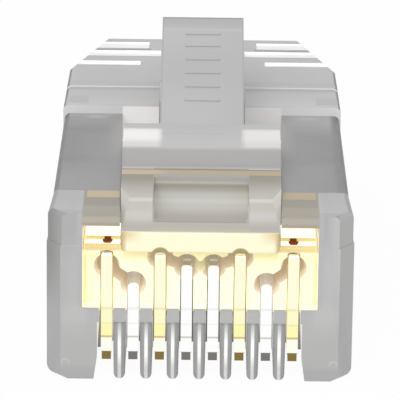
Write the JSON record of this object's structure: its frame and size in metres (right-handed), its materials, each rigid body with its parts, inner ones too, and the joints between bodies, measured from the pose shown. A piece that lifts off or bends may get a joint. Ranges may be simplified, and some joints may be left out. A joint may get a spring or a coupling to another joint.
{
  "type": "rj45 modular plug",
  "caption": "Clear modular plug for network cable, with a sprung latch, piercing contacts in a ribbed comb, a staggered load bar and a rear cable entry.",
  "frame": {"origin": "middle of the underside, half way between the nose face and the cable end", "axes": "+X across the contacts from contact 1 to contact 8, +Y from the nose towards the cable end, +Z from the contact side up to the latch"},
  "size_m": [0.0116, 0.0214, 0.0101],
  "materials": {
    "clear_housing": "clear polycarbonate with a grey cast",
    "clear_latch": "clear polycarbonate, slightly hazed",
    "cream_bar": "pale cream translucent plastic",
    "gold_contact": "bright gold plating",
    "silver_contact": "bright nickel plating"
  },
  "bodies": {
    "plug": {"housing": "clear_housing", "load_bar": "cream_bar", "contact_1": "gold_contact", "contact_2": "silver_contact", "contact_3": "gold_contact", "contact_4": "silver_contact", "contact_5": "silver_contact", "contact_6": "gold_contact", "contact_7": "silver_contact", "contact_8": "gold_contact"},
    "latch_arm": {"latch": "clear_latch"}
  },
  "joints": [
    {"name": "latch_press", "type": "hinge", "parent": "plug", "child": "latch_arm", "pos_m": [0, -0.00959, 0.00582], "axis": [1, 0, 0], "range_deg": [-12, 0], "stiffness_Nm_per_rad": 0.3}
  ]
}
